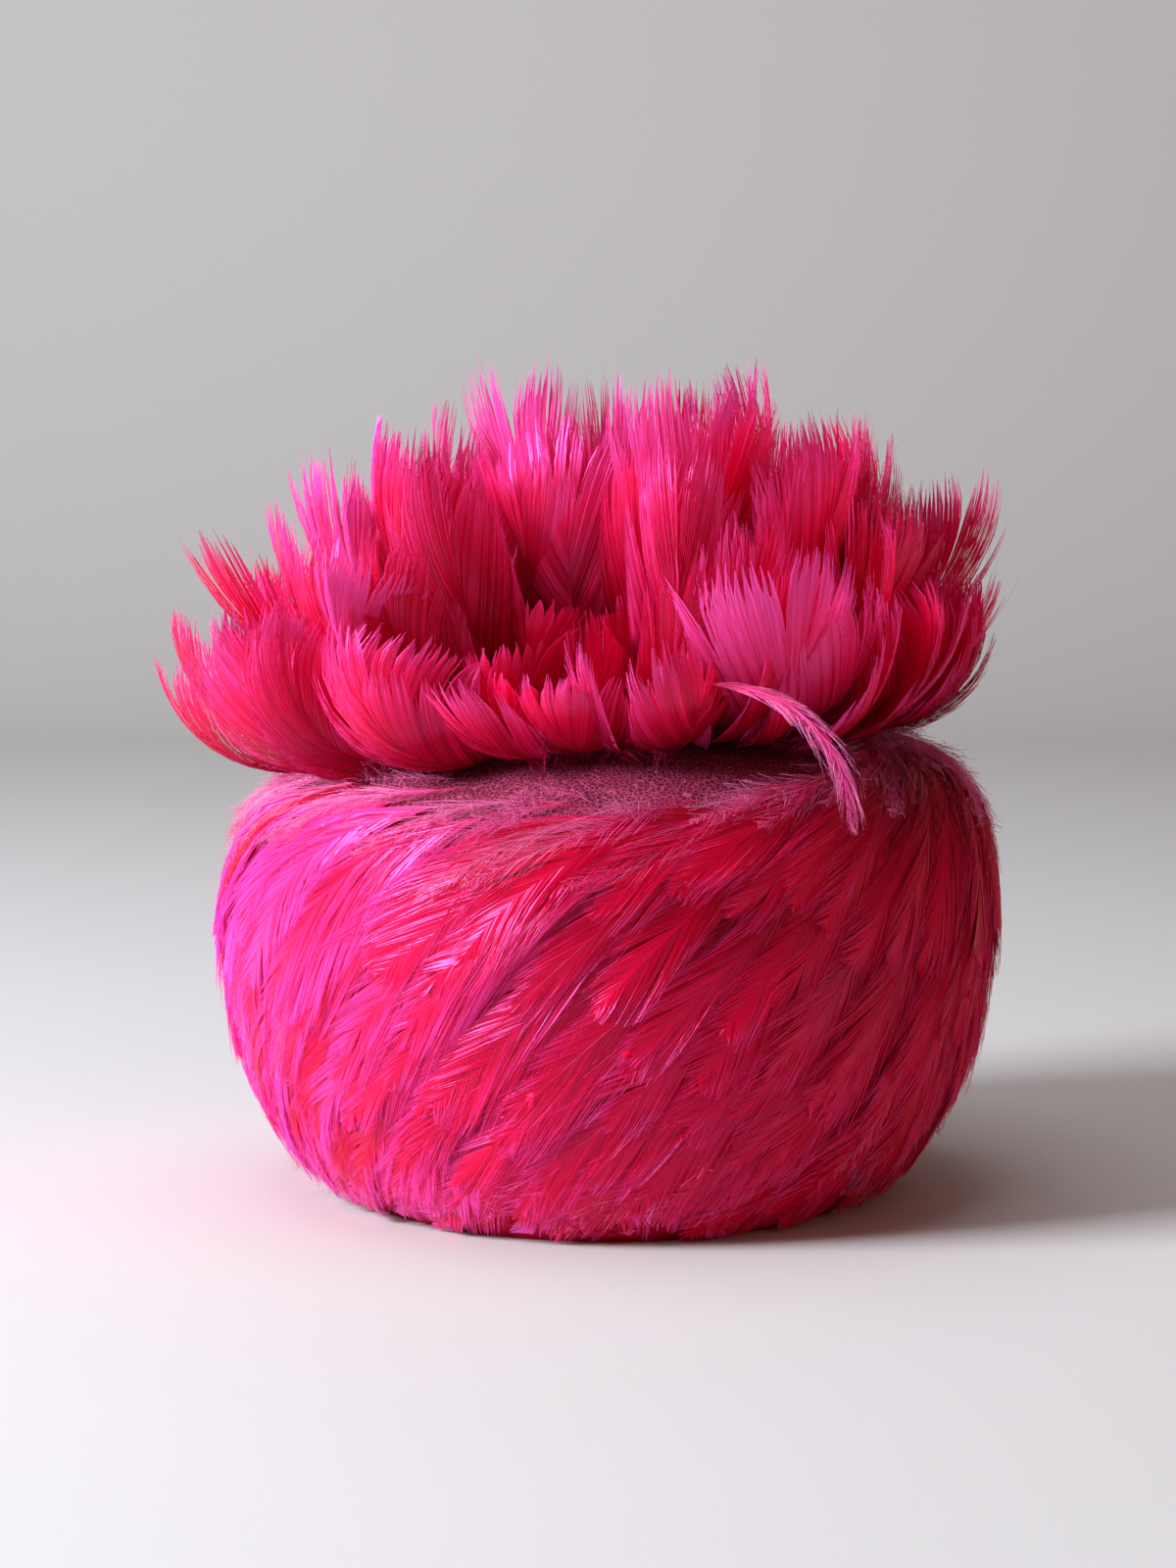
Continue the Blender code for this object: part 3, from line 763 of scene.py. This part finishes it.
def goose_quill(place, radius, length, half_width, slope, turn, sweep, tone):
    """A curled goose feather's line: out from its place on the crown and up, turned about itself
    by turn, and swept sideways by sweep towards its tip."""
    around = math.radians(place)
    foot = Vector((radius * math.sin(around), -radius * math.cos(around), form_high.z + 0.1))
    spot = form_surface.ray_cast(foot, Vector((0.0, 0.0, -1.0)))[0] + Vector((0.0, 0.0, BINDING_LIFT))
    points, faces = [], []
    step = length / (GOOSE_POINTS - 1)
    for number in range(GOOSE_POINTS):
        share = number / (GOOSE_POINTS - 1)
        bend = math.radians(slope[0] + (slope[1] - slope[0]) * share)
        facing = around + math.radians(sweep) * (0.3 + 0.7 * share)
        out = Vector((math.sin(facing), -math.cos(facing), 0.0))
        way = out * math.cos(bend) + Vector((0.0, 0.0, math.sin(bend)))
        inward = Vector((0.0, 0.0, math.cos(bend))) - out * math.sin(bend)
        points.append(spot.copy())
        faces.append(Matrix.Rotation(math.radians(turn * (0.5 + share)), 3, way) @ inward)
        spot += way * step
        spot.z += way.x * step * math.tan(CROWN_LEAN)
    return {"points": points, "faces": faces, "half_width": half_width, "tone": tone}


# Feathers set one by one with the skirt: a fan that faces forward, shorter ones that close the
# ruffle below the hollow, small pointed locks that cross in front of them, the few that stand out
# at the top, narrow blades at the left, and broad lobes at the upper left and right.
# Their tones run higher at the left, where the light is: a painted highlight, as in the rings.
PLACED_FEATHERS = (
    # place, radius, length, half width, slope at quill, slope at tip, turn, sweep, tone
    (27, 0.070, 0.088, 0.026, 2, 94, 0, 4, 0.8),
    (38, 0.070, 0.074, 0.022, -6, 100, 16, 14, 0.7),
    (54, 0.072, 0.072, 0.020, -12, 100, 24, 26, 0.4),
    (0, 0.074, 0.052, 0.017, -14, 80, 14, -62, 0.3),
    (11, 0.074, 0.046, 0.017, -16, 84, 0, -12, 0.2),
    (-10, 0.074, 0.060, 0.015, -16, 76, 24, -74, 0.5),
    (-24, 0.076, 0.066, 0.016, -20, 84, 34, -60, 0.3),
    (30, 0.076, 0.044, 0.015, -16, 86, 10, 8, 0.2),
    (20, 0.082, 0.050, 0.008, 16, 100, 0, -62, 1.1),
    (9, 0.082, 0.046, 0.006, 20, 96, 0, 56, 0.9),
    (27, 0.082, 0.046, 0.007, 16, 100, 0, 30, 0.8),
    (2, 0.082, 0.052, 0.006, 10, 92, 0, -44, 0.8),
    (70, 0.034, 0.104, 0.008, 75, 92, 0, 0, 1.0),
    (-100, 0.040, 0.098, 0.011, 70, 95, 0, 0, 1.2),
    (-80, 0.060, 0.094, 0.012, 24, 62, 30, 0, 0.3),
    (-56, 0.052, 0.092, 0.013, 36, 96, -40, -20, 1.2),
    (-42, 0.066, 0.082, 0.012, 14, 96, -46, -30, 1.3),
    (-70, 0.072, 0.076, 0.013, 0, 92, -40, -20, 1.1),
    (-86, 0.047, 0.098, 0.025, 38, 98, 24, 16, 0.9),
    (-68, 0.043, 0.102, 0.023, 46, 100, -18, -8, 1.1),
    (-98, 0.058, 0.090, 0.022, 28, 92, 12, 20, 0.8),
    (66, 0.046, 0.098, 0.023, 50, 98, -14, 8, 0.6),
    (84, 0.050, 0.094, 0.022, 42, 96, 16, -10, 0.5),
)


goose = feather_material(
    "dyed_goose_nagoire", GOOSE_DEEP_AND_ROOT_SHADE, GOOSE_INK, GOOSE_BLUSH, GOOSE_PALE, SHINE,
    roughness=0.27, gloss=1.0, through=0.36,
)
goose_tree = feather_tree("goose_feathers", GOOSE_SPREAD, GOOSE_REACH, 6)
goose_sizes = {
    "Barb spacing": GOOSE_SPACING, "Bare share": 0.01, "Shaft share": 0.60, "Shaft radius": 0.0006,
    "Rifts": 1.6, "Rift gather": 0.26, "Rift split": 3.8, "Lock width": 0.0022, "Gather": 0.58,
    "Split": 11.0, "Point": 0.09, "Fray": 0.08, "Fullness": 1.0, "Taper": 7.0, "Skew": 1.1, "Bow": 1.7,
    "Cup": 0.46, "Lock lift": 0.0050, "Lock sway": 0.12, "Tilt": 0.34, "Rib width": 0.0016,
    "Rib depth": 0.0011, "Curl": 0.0, "Lowest": FLOOR_CLEARANCE, "Seed": 5,
}
for ring, share, feathers, length, half_width, at_quill, at_tip in GOOSE_RINGS:
    quills = []
    for number in range(feathers):
        place = (number + chance.uniform(-0.4, 0.4)) * 360 / feathers - 180
        aside = place - PARTING
        turned = TURNED * math.exp(-((place - TURNED_PLACE) / TURNED_WIDTH) ** 2)
        swept = -SWEEP_LEFT if aside < 0 else SWEEP_RIGHT
        parting = swept * share * math.exp(-(aside / PARTING_WIDTH) ** 2)
        hollow = HOLLOW_DEPTH * share * math.exp(-(aside / HOLLOW_WIDTH) ** 2)
        # Paler towards -X, where the light is, a painted highlight, and towards the ruffle's middle.
        lit = 1.0 - LIT_SIDE * math.sin(math.radians(place))
        tone = chance.random() * lit * (HEART_TONE - TONE_FALL * share)
        # In the hollow's gap the feathers also lose their tone and come out deeper: painted shade in the
        # hollow.
        if ring in HOLLOW_RINGS and abs(aside) < HOLLOW_GAP:
            hollow, tone = HOLLOW_SHORT, 0.0
        quills.append(goose_quill(
            place, share * form_high.x * chance.uniform(*GOOSE_RADII),
            length * chance.uniform(*GOOSE_LENGTHS) * (1 - hollow),
            half_width * chance.uniform(*GOOSE_WIDTHS),
            (at_quill + chance.uniform(*QUILL_SLOPES), at_tip + chance.uniform(*TIP_SLOPES)),
            turned + chance.uniform(*GOOSE_TURN), parting + chance.uniform(-GOOSE_SWAY, GOOSE_SWAY),
            tone,
        ))
    if ring == "skirt":
        for place, radius, long, wide, low, high, turn, sweep, tone in PLACED_FEATHERS:
            quills.append(goose_quill(place, radius, long, wide, (low, high), turn, sweep, tone))
    made = grown("goose_ring_" + ring, quills, goose_tree, goose, goose_sizes)
    put_up("goose_ring_" + ring, made, "goose_feather", "plume_ring_" + ring)


# Down, wisps and the loose hackle
# Fluffy down from the quills' ends lies in the well between band and ruffle, single barbs stray
# out of the ruffle, and one pale hackle has come loose and droops over the shoulder.

# Tufts stray along their row by up to this many degrees, and these are the shares of their kind's
# length and width that single ones have.
TUFT_DRIFT = 4
TUFT_LENGTHS = (0.7, 1.3)
TUFT_WIDTHS = (0.7, 1.2)

# Down takes less dye than the barbs do.
DOWN_INK = "#ff46a8"
DOWN_BLUSH = "#ff68b4"
DOWN_PALE = "#ff9fcc"

# Tufts lie in the well, over its width and turned every way, a little over the crown's slope. More
# hang under the skirt on their own hoop, with their slopes at the quill and at the tip.
DOWN_TUFTS = 84
DOWN_LENGTH = 0.024
DOWN_WIDTH = 0.0065
DOWN_WELL = 0.034
DOWN_DRIFT = 3
DOWN_SWING = (-160, 120)
WELL_RISE = 0.004
SKIRT_TUFTS = 44
SKIRT_HOOP = (0.062, 0.075)
SKIRT_LENGTHS = (0.9, 1.4)
SKIRT_WIDTHS = (0.9, 1.5)
SKIRT_SLOPES = ((-34, -6), (-10, 50))
SKIRT_TURN = 50
SKIRT_SWEEP = 70

# Loose-barbed hackles fray over the band's upper edge and over its hem.
EDGE_WISPS = 50
EDGE_REACH = (-0.002, 0.006)
EDGE_ROLL = 20
EDGE_SWING = (-30, 20)
EDGE_LENGTH = 0.050
EDGE_WIDTH = 0.0075
HEM_WISPS = 36
HEM_DEPTH = (0.088, 0.104)
HEM_LENGTHS = (0.7, 1.1)
HEM_WIDTHS = (0.5, 0.9)

# The loose hackle's root, its bend and its tip, its half width and the way it faces, and the single
# barbs that stray out of the ruffle.
LOOSE_BENDS = ((0.026, -0.100, 0.161), (0.064, -0.122, 0.163), (0.068, -0.131, 0.121))
LOOSE_WIDTH = 0.0040
LOOSE_FACE = (0.2, -1.0, 0.6)
WISP_WIDTH = 0.001
WISPS = (
    # place, radius, length, slope at quill, slope at tip, sweep
    (75, 0.066, 0.078, 10, 84, 20),
    (88, 0.066, 0.076, 0, 70, 8),
    (100, 0.066, 0.076, 5, 76, -14),
    (60, 0.064, 0.076, -8, 74, 30),
    (12, 0.030, 0.103, 62, 92, 20),
    (-150, 0.030, 0.106, 60, 96, 10),
    (-20, 0.050, 0.090, 20, 84, -40),
    (30, 0.060, 0.080, 6, 88, 60),
)


def down_start(place, inward):
    """A place of the well, a distance in from the band's upper edge."""
    edge = hackle_start(place, 0.0)
    aim = Vector((edge.x, edge.y, 0.0)).normalized()
    return form_surface.find_nearest(edge - aim * inward + Vector((0.0, 0.0, WELL_RISE)))[0]


def bent_quill(start, bend, end, half_width, tone):
    """A quill along one smooth bend."""
    facing = Vector(LOOSE_FACE)
    points, faces = [], []
    for number in range(GOOSE_POINTS):
        share = number / (GOOSE_POINTS - 1)
        near = Vector(start).lerp(Vector(bend), share)
        far = Vector(bend).lerp(Vector(end), share)
        way = (far - near).normalized()
        points.append(near.lerp(far, share))
        faces.append((facing - way * way.dot(facing)).normalized())
    return {"points": points, "faces": faces, "half_width": half_width, "tone": tone}


down_sizes = dict(
    hackle_sizes, **{"Barb spacing": 0.0009, "Fullness": 0.16, "Lock width": 0.0025, "Gather": 0.35,
                     "Fray": 0.8, "Taper": 0.6, "Bow": 1.0, "Lock lift": 0.006, "Rib depth": 0.0,
                     "Curl": 0.0030, "Shaft radius": 0.0001, "Seed": 9},
)
quills = []
for number in range(DOWN_TUFTS):
    place = number * 360 / DOWN_TUFTS - 180 + chance.uniform(-DOWN_DRIFT, DOWN_DRIFT)
    quills.append(hackle_quill(
        down_start(place, chance.uniform(0.0, DOWN_WELL)), DOWN_LENGTH * chance.uniform(*TUFT_LENGTHS),
        DOWN_WIDTH * chance.uniform(*TUFT_WIDTHS), 0.0, chance.uniform(*DOWN_SWING),
        chance.uniform(0.5, 1.4),
    ))
down = feather_material(
    "feather_down", HACKLE_INK, DOWN_INK, DOWN_BLUSH, DOWN_PALE, SHINE,
    roughness=0.6, gloss=0.3, through=0.3,
)
fluff = grown("down_in_well", quills, hackle_tree, down, down_sizes)
put_up("down_in_well", fluff, "hackle_feather")

quills = []
for number in range(SKIRT_TUFTS):
    place = number * 360 / SKIRT_TUFTS - 180 + chance.uniform(-TUFT_DRIFT, TUFT_DRIFT)
    quills.append(goose_quill(
        place, chance.uniform(*SKIRT_HOOP), DOWN_LENGTH * chance.uniform(*SKIRT_LENGTHS),
        DOWN_WIDTH * chance.uniform(*SKIRT_WIDTHS), [chance.uniform(*ends) for ends in SKIRT_SLOPES],
        chance.uniform(-SKIRT_TURN, SKIRT_TURN), chance.uniform(-SKIRT_SWEEP, SKIRT_SWEEP),
        chance.uniform(0.0, 1.0),
    ))
tufts = grown("down_under_ruffle", quills, hackle_tree, goose, down_sizes)
put_up("down_under_ruffle", tufts, "goose_feather")

edge_sizes = dict(
    hackle_sizes, **{"Barb spacing": 0.0012, "Fullness": 0.26, "Gather": 0.5, "Fray": 0.5,
                     "Taper": 0.7, "Bow": 1.1, "Lock lift": 0.005, "Lock sway": 0.5, "Curl": 0.0012,
                     "Shaft radius": 0.00012, "Seed": 13},
)
quills = []
for number in range(EDGE_WISPS):
    place = number * 360 / EDGE_WISPS - 180 + chance.uniform(-TUFT_DRIFT, TUFT_DRIFT)
    quills.append(hackle_quill(
        down_start(place, chance.uniform(*EDGE_REACH)), EDGE_LENGTH * chance.uniform(*TUFT_LENGTHS),
        EDGE_WIDTH * chance.uniform(*TUFT_WIDTHS), math.radians(chance.uniform(-EDGE_ROLL, EDGE_ROLL)),
        chance.uniform(*EDGE_SWING), chance.uniform(0.6, 1.5),
    ))
for number in range(HEM_WISPS):
    place = number * 360 / HEM_WISPS - 180 + chance.uniform(-TUFT_DRIFT, TUFT_DRIFT)
    quills.append(hackle_quill(
        hackle_start(place, chance.uniform(*HEM_DEPTH)), EDGE_LENGTH * chance.uniform(*HEM_LENGTHS),
        EDGE_WIDTH * chance.uniform(*HEM_WIDTHS), math.radians(chance.uniform(-EDGE_ROLL, EDGE_ROLL)),
        chance.uniform(*EDGE_SWING), chance.uniform(0.2, 1.1), chance.uniform(*RAGGED_EDGE),
    ))
wisps = grown("edge_wisps", quills, hackle_tree, down, edge_sizes)
put_up("edge_wisps", wisps, "hackle_feather")

wisp_sizes = dict(
    goose_sizes, **{"Barb spacing": 0.0200, "Fullness": 0.02, "Shaft radius": 0.00016, "Fray": 0.2,
                    "Taper": 1.0, "Lock lift": 0.002, "Curl": 0.0, "Bare share": 0.92,
                    "Shaft share": 0.99, "Rib depth": 0.0},
)
quills = [
    goose_quill(place, radius, length, WISP_WIDTH, (at_quill, at_tip), 0, sweep, chance.random())
    for place, radius, length, at_quill, at_tip, sweep in WISPS
]
strays = grown("stray_barbs", quills, hackle_tree, goose, wisp_sizes)
put_up("stray_barbs", strays, "goose_feather")

loose_sizes = dict(hackle_sizes, **{"Rifts": 2.0, "Rift gather": 0.6, "Fray": 0.4, "Curl": 0.0008})
quills = [bent_quill(*LOOSE_BENDS, LOOSE_WIDTH, 0.8)]
loose = grown("loose_hackle", quills, hackle_tree, down, loose_sizes)
put_up("loose_hackle", loose, "hackle_feather")


# Floor, light and camera
# The hat stands on a plain pale floor that runs up into a pale wall behind it.

FLOOR_COLOUR = "#cdc8c2"
BOARD_GRAINS_PER_METRE = 300.0
BOARD_GRAIN_HEIGHT = 0.0005
FLOOR_HALF_WIDTH = 2.5
FLOOR_FRONT = -2.0
WALL_PLACE = 1.5
WALL_HEIGHT = 2.5
SWEEP_RADIUS = 0.5
SWEEP_STEPS = 12

# A cool window at the left, a soft ceiling and a weak warm light from the right.
LIGHTS = (
    # name, place, aim, size, watts, colour
    ("window_left", (-1.56, -0.66, 0.95), (0.0, 0.0, 0.16), (0.7, 0.8), 80.0, "#e8f0ff"),
    ("ceiling", (-0.2, 0.1, 1.8), (0.0, 0.0, 0.1), (1.2, 1.0), 13.0, "#eef4ff"),
    ("fill_right", (1.6, -1.1, 0.6), (0.0, 0.0, 0.14), (1.0, 1.0), 3.4, "#ffa078"),
)
ROOM_COLOUR = "#e6d6ce"
ROOM_STRENGTH = 0.15

# The camera stands where the photograph was taken from and looks along its direction, with a
# longer lens that takes in the hat alone.
CAMERA_PLACE = (-0.006, -1.278, 0.25)
CAMERA_PITCH = math.radians(84.3)
LENS = 96.0
FILM = 36.0


def backdrop():
    """A floor and a wall in one sheet, joined by a wide curve."""
    line = [(FLOOR_FRONT, 0.0)]
    for number in range(SWEEP_STEPS + 1):
        turn = math.pi / 2 * number / SWEEP_STEPS
        far = WALL_PLACE + SWEEP_RADIUS * math.sin(turn)
        line.append((far, SWEEP_RADIUS * (1 - math.cos(turn))))
    line.append((WALL_PLACE + SWEEP_RADIUS, WALL_HEIGHT))
    points = [(side * FLOOR_HALF_WIDTH, far, high) for far, high in line for side in (-1, 1)]
    faces = [(2 * row, 2 * row + 1, 2 * row + 3, 2 * row + 2) for row in range(len(line) - 1)]
    mesh = bpy.data.meshes.new("backdrop")
    mesh.from_pydata(points, [], faces)
    mesh.shade_smooth()
    made, tree, out = new_material("painted_board")
    grain = add(tree, "ShaderNodeTexNoise", add(tree, "ShaderNodeTexCoord").outputs["Object"], named={
        "Scale": BOARD_GRAINS_PER_METRE, "Detail": 3.0})
    relief = add(tree, "ShaderNodeBump", named={
        "Height": grain.outputs[0], "Strength": 0.08, "Distance": BOARD_GRAIN_HEIGHT})
    shader = add(tree, "ShaderNodeBsdfPrincipled", named={
        "Base Color": linear(FLOOR_COLOUR), "Roughness": 0.7, "Normal": relief.outputs[0]})
    tree.links.new(shader.outputs[0], out.inputs[0])
    mesh.materials.append(made)
    sheet = bpy.data.objects.new("backdrop", mesh)
    bpy.context.scene.collection.objects.link(sheet)


def softbox(name, place, aim, size, power, colour):
    """A soft square light aimed at a point."""
    light = bpy.data.lights.new(name, "AREA")
    light.shape = "RECTANGLE"
    light.size, light.size_y = size
    light.energy = power
    light.color = linear(colour)[:3]
    lamp = bpy.data.objects.new(name, light)
    lamp.location = place
    lamp.rotation_euler = (Vector(aim) - Vector(place)).to_track_quat("-Z", "Y").to_euler()
    bpy.context.scene.collection.objects.link(lamp)


backdrop()
for light in LIGHTS:
    softbox(*light)

world = bpy.data.worlds.new("room")
world.use_nodes = True
world.node_tree.nodes["Background"].inputs["Color"].default_value = linear(ROOM_COLOUR)
world.node_tree.nodes["Background"].inputs["Strength"].default_value = ROOM_STRENGTH
bpy.context.scene.world = world
bpy.context.scene.view_settings.view_transform = "Standard"

camera_data = bpy.data.cameras.new("camera")
camera_data.lens = LENS
camera_data.sensor_width = FILM
camera_data.sensor_fit = "VERTICAL"
camera_data.sensor_height = FILM
camera = bpy.data.objects.new("camera", camera_data)
camera.location = CAMERA_PLACE
camera.rotation_euler = (CAMERA_PITCH, 0.0, 0.0)
bpy.context.scene.collection.objects.link(camera)
bpy.context.scene.camera = camera
